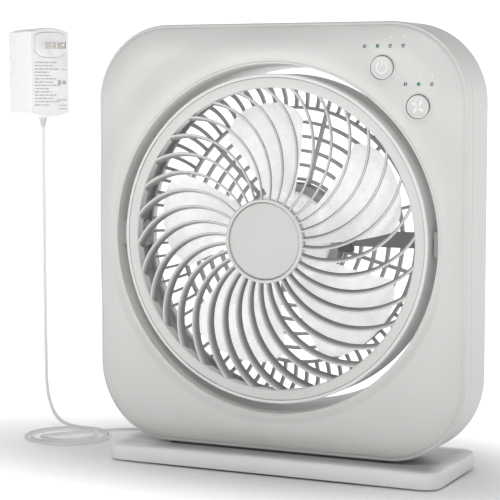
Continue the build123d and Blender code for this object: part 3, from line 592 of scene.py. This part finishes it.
def build_base():
    """The flat base: a low slab with a rounded upper edge, with painted shade that makes it darker on
    top than at its sides, standing in for the housing's shadow.
    """
    low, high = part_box("base_cover")
    half_w, half_d = high.x / MM, high.y / MM
    bottom, top = low.z / MM, high.z / MM
    profile = [(8.0, bottom + 0.8), (3.0, bottom + 0.8), (1.0, bottom), (0.3, bottom + 0.15),
               (0.0, bottom + 0.6)]
    turns = [radians(10 * i) for i in range(10)]
    profile += [(BASE_ROUND * (1 - cos(turn)), top - BASE_ROUND * (1 - sin(turn)))
                for turn in turns]
    profile += [(14.0, top), (30.0, top)]
    rows = [base_row(inset, height, half_w, half_d) for inset, height in profile]
    made = piece("base_slab", *loft(rows, cap=True), BASE, "housing", "white_plastic",
                 ["base_cover"])
    shade_by_angle(made, 40)
    insets = [inset for inset, _ in profile for _ in rows[0]]
    # Painted shade: the darkening grows from 1 mm to 13 mm in from the edge, so the top is darker
    # than the sides.
    set_painted_shade(made, lambda index: min(1.0, max(0.0, (insets[index] - 1.0) / 12)))


# ---- controls -----------------------------------------------------------------------------------
BUTTON_REAR, WELL_FLOOR = 5.2, 7.4                # a pressed button stays clear of its well
DISH_LEVEL = 0.72                                 # the symbols' level behind the button's front
SYMBOL_LINE, STROKE_T = 0.95, 0.25
NUMBER_H, NUMBER_RISE = 4.6, 7.0                  # the numerals' height, and place above a light


def button_profile():
    """A button's section: a shallow dish with a rounded rim."""
    front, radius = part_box("timer_button")[0].y / MM - FACE_Y, BUTTON_R
    profile = [(0.01, front + 0.75), (3.0, front + DISH_LEVEL), (5.8, front + 0.55),
               (7.6, front + 0.25), (8.4, front + 0.05), (radius - 0.9, front),
               (radius - 0.45, front + 0.12), (radius - 0.15, front + 0.42),
               (radius, front + 0.95), (radius, BUTTON_REAR), (0.01, BUTTON_REAR)]
    return profile, front


def stroke(points, width, depth):
    """A flat raised line through (x, z) points, as points and faces."""
    rows = []
    for i, point in enumerate(points):
        before = points[max(i - 1, 0)]
        after = points[min(i + 1, len(points) - 1)]
        along = Vector((after[0] - before[0], after[1] - before[1])).normalized()
        side = Vector((-along.y, along.x)) * width / 2
        rows.append([
            at(point[0] + side.x, depth, point[1] + side.y),
            at(point[0] + side.x, depth - STROKE_T, point[1] + side.y),
            at(point[0] - side.x, depth - STROKE_T, point[1] - side.y),
            at(point[0] - side.x, depth, point[1] - side.y),
        ])
    return loft(rows, cap=True)


def circle_points(centre, radius, start, end, steps):
    return [(centre[0] + radius * cos(radians(start + (end - start) * i / steps)),
             centre[1] + radius * sin(radians(start + (end - start) * i / steps)))
            for i in range(steps + 1)]


def build_buttons():
    """The two button caps with a power sign and a four-petalled fan sign."""
    profile, front = button_profile()
    dish = front + DISH_LEVEL
    for node, centre in (("timer_button", TIMER), ("speed_button", SPEED)):
        made = piece(node + "_cap", *turned(profile, 96, centre=centre), SHELL, node,
                     "white_plastic", [node])
        shade_by_angle(made, 45)
    power = [stroke(circle_points(TIMER, 4.6, 125, 415, 40), SYMBOL_LINE, dish),
             stroke([(TIMER[0], TIMER[1] + 1.5), (TIMER[0], TIMER[1] + 5.6)], SYMBOL_LINE, dish)]
    piece("timer_symbol", *join(*power), INK, "timer_button", "white_plastic", smooth=False)
    petals = []
    for quarter in range(4):
        heading = radians(35 + 90 * quarter)
        rows = []
        for i in range(9):
            share = i / 8
            radius = 0.9 + 5.2 * share
            bend = heading + 0.35 * share
            half = 0.35 + 1.5 * sin(pi * min(1.0, share * 0.93) ** 0.8) * share**0.4
            middle = (SPEED[0] + radius * cos(bend), SPEED[1] + radius * sin(bend))
            across = (-sin(bend) * half, cos(bend) * half)
            rows.append([at(middle[0] + k * across[0], dish - lift, middle[1] + k * across[1])
                         for k, lift in ((1, 0.0), (1, 0.25), (-0.6, 0.25), (-0.6, 0.0))])
        petals.append(loft(rows, cap=True))
    piece("speed_symbol", *join(*petals), INK, "speed_button", "white_plastic", smooth=False)


def digit(text, centre, height):
    """A numeral printed on the face, as a thin mesh."""
    font = bpy.data.curves.new("digit", "FONT")
    font.body = text
    font.size = height * MM
    font.align_x, font.align_y = "CENTER", "CENTER"
    font.extrude = 0.04 * MM
    made = bpy.data.objects.new("digit", font)
    bpy.context.scene.collection.objects.link(made)
    mesh = bpy.data.meshes.new_from_object(made)
    bpy.data.objects.remove(made)
    turn = Matrix.Rotation(radians(90), 4, "X")
    place = at(centre[0], face_depth(*centre) - 0.03, centre[1])
    mesh.transform(Matrix.Translation(place) @ turn)
    points = [vertex.co.copy() for vertex in mesh.vertices]
    return points, [tuple(polygon.vertices) for polygon in mesh.polygons]


def build_button_wells():
    """The black walls seen in the narrow gaps round the buttons and the lights, painted shade that
    keeps those gaps dark.
    """
    radius = BUTTON_R + BUTTON_GAP - 0.03
    wells = [turned([(radius, face_depth(*centre) + 0.15), (radius, WELL_FLOOR),
                     (BUTTON_R - 2.0, WELL_FLOOR)], 96, centre=centre)
             for centre in (TIMER, SPEED)]
    for spot in TIMER_LIGHTS + SPEED_LIGHTS:
        top = face_depth(*spot) + 0.12
        wells.append(turned([(LENS_HOLE - 0.03, top), (LENS_HOLE - 0.03, 5.0), (0.4, 5.0)], 32,
                            centre=spot))
    piece("button_wells", *join(*wells), BLACK, "housing", "black_plastic")


def build_lights():
    """The unlit and the lit lenses, and the numerals above them."""
    for name, spots, node, material, slot in (
        ("light_lenses_off", [s for s in TIMER_LIGHTS + SPEED_LIGHTS if s not in LIT],
         "indicator_lights_off", LENS, "lens_white"),
        ("light_lenses_lit", LIT, "indicator_lights_lit", GREEN, "lens_lit"),
    ):
        lenses = []
        for spot in spots:
            top = face_depth(*spot) + 0.1
            radius = 1.0 if material is LENS else 1.15
            profile = [(0.01, top - 0.25), (radius * 0.55, top - 0.15), (radius * 0.9, top + 0.15),
                       (radius, top + 0.6), (radius, 10.0)]
            lenses.append(turned(profile, 24, centre=spot))
        piece(name, *join(*lenses), material, "housing", slot, [node])
    digits = [digit(text, (x, z + NUMBER_RISE), NUMBER_H)
              for text, (x, z) in zip("1248" + "123", TIMER_LIGHTS + SPEED_LIGHTS)]
    piece("printed_numbers", *join(*digits), INK, "housing", "white_plastic", smooth=False)


# ---- front grille -------------------------------------------------------------------------------
GRILLE_IN, HUB_R, HUB_FRONT = 129.8, 35.8, -15.9
SPOKES, SPOKE_ARC, SPOKE_PHASE = 32, 73.0, 3.4
SLANT = -0.30
FIN_START, FIN_TURN, FIN_STEPS = -1.5, 95.0, 34   # a fin's arc in degrees, and its rows
MARK_R, MARK_DEPTH = 134.0, -0.55
# Painted shade round a fin's section: none on the front edge, some on its shoulders, full from
# mid-depth back.
FIN_PAINTED_SHADE = (0.45, 0.0, 0.0, 0.3, 1.0, 1.0, 1.0, 1.0, 1.0, 1.0)   # round a fin's section


def grille_front(radius):
    """Depth of the fins' front edges, which bow out from the ring to the hub."""
    share = (radius**2 - HUB_R**2) / (GRILLE_IN**2 - HUB_R**2)
    return HUB_FRONT * (1 - share)


def fin(heading):
    """One swirled fin: its front edge is narrow and round, and its rear leans clockwise."""
    rows = []
    for i in range(FIN_STEPS + 1):
        turn = radians(FIN_START + FIN_TURN * i / FIN_STEPS)
        x, z = HUB_R + SPOKE_ARC * sin(turn), SPOKE_ARC * (1 - cos(turn))
        radius = hypot(x, z)
        along = Vector((cos(turn), sin(turn)))
        normal = Vector((-along.y, along.x))
        share = min(1.0, (radius - HUB_R) / (GRILLE_IN - HUB_R))
        front = grille_front(min(radius, GRILLE_IN))
        deep = 6.0 + 2.3 * share
        thick = 1.15 + 0.35 * share
        section = [(-0.55, 0.35), (-0.2, 0.0), (0.3, 0.0), (0.75, 0.4), (0.95, deep * 0.5),
                   (0.8, deep - 0.3), (0.5, deep), (-0.45, deep), (-0.8, deep - 0.3),
                   (-0.9, deep * 0.5)]
        row = []
        for across, back in section:
            shift = across * thick - SLANT * back
            px, pz = x + normal.x * shift, z + normal.y * shift
            c, s = cos(heading), sin(heading)
            row.append(at(px * c - pz * s, front + back, px * s + pz * c))
        rows.append(row)
    return loft(rows, cap=True)


def build_front_grille():
    """The fins, ring and hub as one moulding, and the disc in the hub."""
    fins = [fin(radians(SPOKE_PHASE + 360 / SPOKES * k)) for k in range(SPOKES)]
    ring = turned([
        (129.9, 9.7), (129.5, 4.0), (129.5, 0.6), (129.8, -0.2), (130.5, -0.55), (131.6, -0.6),
        (137.4, -0.6), (137.9, -0.5), (138.3, -0.1), (138.4, 0.6), (138.4, 2.4), (131.8, 2.4),
        (131.8, 9.7),
    ], 256, closed=True)
    hub = turned([
        (35.8, -9.5), (36.0, -12.0), (36.0, -15.2), (35.8, -15.9), (35.2, -16.4), (34.3, -16.6),
        (33.6, -16.5), (33.2, -16.1), (33.15, -11.5), (0.01, -11.5), (0.01, -9.5),
    ], 160, closed=True)
    made = piece("swirl_grille", *join(*fins, ring, hub), FINS, "grille", "white_plastic",
                 ["front_grille"])
    shade_by_angle(made, 50)
    fin_points = sum(len(points) for points, _ in fins)
    # Painted shade on the fins only; the ring and hub get none.
    set_painted_shade(made,
               lambda index: FIN_PAINTED_SHADE[index % len(FIN_PAINTED_SHADE)] if index < fin_points else 0)
    cap = turned([(0.01, -15.35), (20.0, -15.3), (30.5, -15.1), (31.9, -14.95), (32.5, -14.5),
                  (32.7, -13.8), (32.7, -11.5), (0.01, -11.5)], 160)
    made = piece("hub_disc", *cap, CAP, "grille", "white_plastic", ["hub_cap"])
    shade_by_angle(made, 50)


def build_ring_marks():
    """Raised marks at the foot of the grille's ring: two padlocks, one open, and a dotted arc."""
    marks = []
    for direction, open_angle in ((-104.0, 0), (-76.0, 40)):
        x, z = MARK_R * cos(radians(direction)), MARK_R * sin(radians(direction))
        marks.append(stroke([(x - 1.6, z - 1.2), (x + 1.6, z - 1.2)], 2.2, MARK_DEPTH))
        shackle = circle_points((x, z), 1.2, open_angle, 180 + open_angle, 10)
        marks.append(stroke(shackle, 0.5, MARK_DEPTH))
    for step in range(7):
        direction = radians(-97.0 + 14.0 * step / 6)
        centre = (MARK_R * cos(direction), MARK_R * sin(direction))
        marks.append(stroke(circle_points(centre, 0.35, 0, 180, 6), 0.5, MARK_DEPTH))
    piece("ring_marks", *join(*marks), GRILLE, "grille", "white_plastic", smooth=False)


# ---- impeller -----------------------------------------------------------------------------------
BLADES, BLADE_START = 5, 93.0
HUB_OUT, TIP_R, BLADE_MID = 40.0, 117.0, 24.0
BLADE_T = 1.6
LOW_HALF, HIGH_HALF = 21.0, 27.0       # degrees from a blade's middle line to its two edges
LOW_ROUND, HIGH_ROUND = 11.0, 15.0     # how far the tip draws in at those edges


def blade_surface(heading):
    """A frosted blade with a rounded tip, swept back a little, pitched to push air forwards."""
    rows = []
    along_steps, across_steps = 22, 20
    for i in range(along_steps + 1):
        share = i / along_steps
        row = []
        for j in range(across_steps + 1):
            across = 2 * j / across_steps - 1
            tip = TIP_R - (LOW_ROUND if across < 0 else HIGH_ROUND) * abs(across) ** 3.2
            radius = HUB_OUT - 4 + (tip - HUB_OUT + 4) * share
            half = radians(LOW_HALF if across < 0 else HIGH_HALF)
            sweep = radians(-3.0 + 8.0 * share)
            angle = radians(heading) + sweep + half * across
            pitch = 10.5 + 3.5 * share
            camber = 2.2 * (1 - across**2) * share
            row.append(at(radius * cos(angle), BLADE_MID + pitch * across * 0.95 - camber,
                          radius * sin(angle)))
        rows.append(row)
    return loft(rows, closed_rows=False)


def build_impeller():
    blades = [blade_surface(BLADE_START + 360 / BLADES * k) for k in range(BLADES)]
    made = piece("impeller_blades", *join(*blades), BLADE, "impeller", "frosted_plastic",
                 ["impeller"])
    wall = made.modifiers.new("wall", "SOLIDIFY")
    wall.thickness = BLADE_T * MM
    wall.offset = 0
    apply_modifiers(made)
    shade_by_angle(made, 50)
    hub = turned([
        (2.6, 10.4), (12.0, 10.0), (24.0, 10.1), (29.0, 10.6), (32.5, 12.2), (35.5, 15.0),
        (37.5, 18.5), (39.4, 20.5), (40.0, 22.0), (40.0, 37.6), (39.6, 38.0), (37.8, 38.0),
        (37.5, 37.6), (37.5, 22.0), (33.0, 16.0), (29.0, 12.8), (7.0, 12.6), (6.6, 14.5),
        (2.6, 14.5),
    ], 128, closed=True)
    made = piece("impeller_hub", *hub, BLADE, "impeller", "frosted_plastic")
    shade_by_angle(made, 50)


# ---- adapter ------------------------------------------------------------------------------------
ADAPTER_W, ADAPTER_H, ADAPTER_BULGE, ADAPTER_D = 46.0, 77.0, 4.0, 36.0
OUTLINE_STEPS, MODULE_STEPS = 14, 10
PIN_GAP, PIN_HOLE_R, PIN_HOLE_OUT = 12.7, 1.5, 12.8
BLADE_WAY = Vector((cos(radians(-20.0)), sin(radians(-20.0)), 0))
ACROSS = Vector((sin(radians(20.0)), cos(radians(20.0)), 0))
CORD_EXIT = Vector((-279.4, 44.4, 0))
ADAPTER_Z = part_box("adapter_front_case")[0].z / MM + ADAPTER_BULGE


def adapter_at(across, out, up):
    """A point of the adapter: across and up its plug face, out of that face along the blades."""
    place = CORD_EXIT + BLADE_WAY * (12.0 + out) + ACROSS * across
    return Vector((place.x, place.y, ADAPTER_Z + up)) * MM


def adapter_outline(inset):
    """The adapter's upright outline with arched ends, as (across, up) points."""
    half, bulge = ADAPTER_W / 2 - inset, ADAPTER_BULGE
    points = []
    for i in range(OUTLINE_STEPS + 1):
        across = -half + 2 * half * i / OUTLINE_STEPS
        points.append((across, inset - bulge * (1 - (across / half) ** 2)))
    for i in range(OUTLINE_STEPS + 1):
        across = half - 2 * half * i / OUTLINE_STEPS
        points.append((across, ADAPTER_H - inset + bulge * (1 - (across / half) ** 2)))
    return points


def adapter_prism(outline_of, stages):
    """A prism along the blades' way: stages are (inset, out) pairs."""
    rows = [[adapter_at(across, out, up) for across, up in outline_of(inset)]
            for inset, out in stages]
    return loft(rows, cap=True)


def module_outline(inset):
    """The plug module's outline: an arched block with rounded lower corners."""
    half, top, bottom = 18.0 - inset, 75.0 - inset, 53.0 + inset
    points = []
    for i in range(MODULE_STEPS + 1):
        across = -half + 2 * half * i / MODULE_STEPS
        points.append((across, bottom + 5.4 * (across / half) ** 4))
    for i in range(MODULE_STEPS + 1):
        across = half - 2 * half * i / MODULE_STEPS
        points.append((across, top + 1.5 - 3.0 * (across / half) ** 4))
    return points


def build_adapter():
    """The adapter's two case halves and the plug module set in its face."""
    front = adapter_prism(adapter_outline, [(0.0, -9.0), (0.0, -1.6), (0.25, -0.8), (0.8, -0.25),
                                            (1.6, 0.0)])
    made = piece("adapter_front", *front, ADAPTER, "housing", "white_plastic",
                 ["adapter_front_case", "adapter_board"])
    shade_by_angle(made, 30)
    rear = adapter_prism(adapter_outline, [(2.2, -ADAPTER_D), (0.9, -ADAPTER_D + 0.6),
                                           (0.5, -ADAPTER_D + 1.8), (0.35, -12.0), (0.35, -9.5),
                                           (0.9, -9.2), (0.9, -8.8)])
    made = piece("adapter_rear", *rear, ADAPTER, "housing", "white_plastic", ["adapter_rear_case"])
    shade_by_angle(made, 30)
    module = adapter_prism(module_outline, [(0.0, -0.5), (0.0, 0.7), (0.3, 1.1), (0.9, 1.3)])
    socket = adapter_prism(module_outline, [(-0.5, -0.3), (-0.5, 0.06)])
    piece("plug_module_gap", *socket, MID_GREY, "housing", "grey_plastic")
    made = piece("plug_module_block", *module, ADAPTER, "housing", "white_plastic", ["plug_module"])
    shade_by_angle(made, 30)


def build_rating_label():
    """Rows of short grey dashes where the adapter's small print is, with no words in them."""
    dashes = []
    for row in range(14):
        up = 47.5 - 3.1 * row
        across, end = -19.0, (-19.0 + (26.0, 22.0, 30.0, 18.0, 20.0)[row % 5])
        word = 0
        while across < end:
            length = 1.6 + 1.3 * ((row * 7 + word * 5) % 4)
            dashes.append(adapter_box(across, min(across + length, end), up, up + 1.15))
            across += length + 0.9
            word += 1
    bars = ((9.0, 27.0, 4.0, 4.5), (14.5, 27.5, 4.5, 3.5), (8.0, 12.0, 12.0, 1.0),
            (10.0, 7.0, 10.0, 0.8), (10.0, 3.6, 10.0, 0.8), (14.0, 41.0, 5.0, 0.8))
    for across, up, wide, high in bars:
        dashes.append(adapter_box(across, across + wide, up, up + high))
    piece("rating_label", *join(*dashes), FAINT_INK, "housing", "grey_plastic", smooth=False)


def adapter_box(left, right, bottom, top):
    """A printed bar on the adapter's plug face."""
    rows = [[adapter_at(a, out, b) for a, b in ((left, bottom), (right, bottom), (right, top),
                                                (left, top))] for out in (-0.05, 0.05)]
    return loft(rows, cap=True)


def build_plug_blades():
    """The two flat pins, each with a round hole near its tip."""
    level = (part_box("plug_blades")[0].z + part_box("plug_blades")[1].z) / 2 / MM - ADAPTER_Z
    blades = []
    for middle in (-PIN_GAP / 2, PIN_GAP / 2):
        sections = []
        for out, half_t, half_h in ((0.0, 0.75, 3.15), (15.4, 0.75, 3.15), (17.0, 0.35, 2.6)):
            sections.append([adapter_at(middle + a * half_t, out, level + b * half_h)
                             for a, b in ((-1, -1), (1, -1), (1, 1), (-1, 1))])
        blades.append(loft(sections, cap=True))
    made = piece("plug_pins", *join(*blades), NICKEL, "housing", "blade_metal", ["plug_blades"],
                 smooth=False)
    steps = 24
    hole = []
    for side in (-12, 12):
        hole.append([adapter_at(side, PIN_HOLE_OUT + PIN_HOLE_R * cos(2 * pi * i / steps),
                                level + PIN_HOLE_R * sin(2 * pi * i / steps))
                     for i in range(steps)])
    cut(made, cutting_tool("hole", *loft(hole, cap=True)))


def build_strain_relief():
    """A tapered, ribbed sleeve where the cord leaves the adapter."""
    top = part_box("strain_relief")[1].z / MM
    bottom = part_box("strain_relief")[0].z / MM
    profile = [(4.9, top), (4.9, top - 2.0), (4.4, top - 2.3)]
    ribs = 5
    for i in range(ribs):
        share = i / ribs
        level = top - 2.4 - (top - bottom - 2.4) * share
        step = (top - bottom - 2.4) / ribs
        radius = 4.3 - 2.0 * share
        profile += [(radius, level - 0.1 * step), (radius - 0.1, level - 0.62 * step),
                    (radius - 0.6, level - 0.7 * step), (radius - 0.6, level - 0.92 * step)]
    profile += [(1.8, bottom)]
    steps = 40
    rows = [[Vector((CORD_EXIT.x + radius * cos(2 * pi * i / steps),
                     CORD_EXIT.y + radius * sin(2 * pi * i / steps), level)) * MM
             for i in range(steps)] for radius, level in profile]
    made = piece("cord_sleeve", *loft(rows, cap=True), SLEEVE, "housing", "grey_plastic",
                 ["strain_relief"])
    shade_by_angle(made, 40)


# ---- everything ---------------------------------------------------------------------------------
add_camera()
add_cord()
add_studio()
add_floor()
finish_cad_nodes()
build_front_shell()
build_base()
build_buttons()
build_button_wells()
build_lights()
build_front_grille()
build_ring_marks()
build_impeller()
build_adapter()
build_rating_label()
build_plug_blades()
build_strain_relief()

bpy.context.view_layer.update()
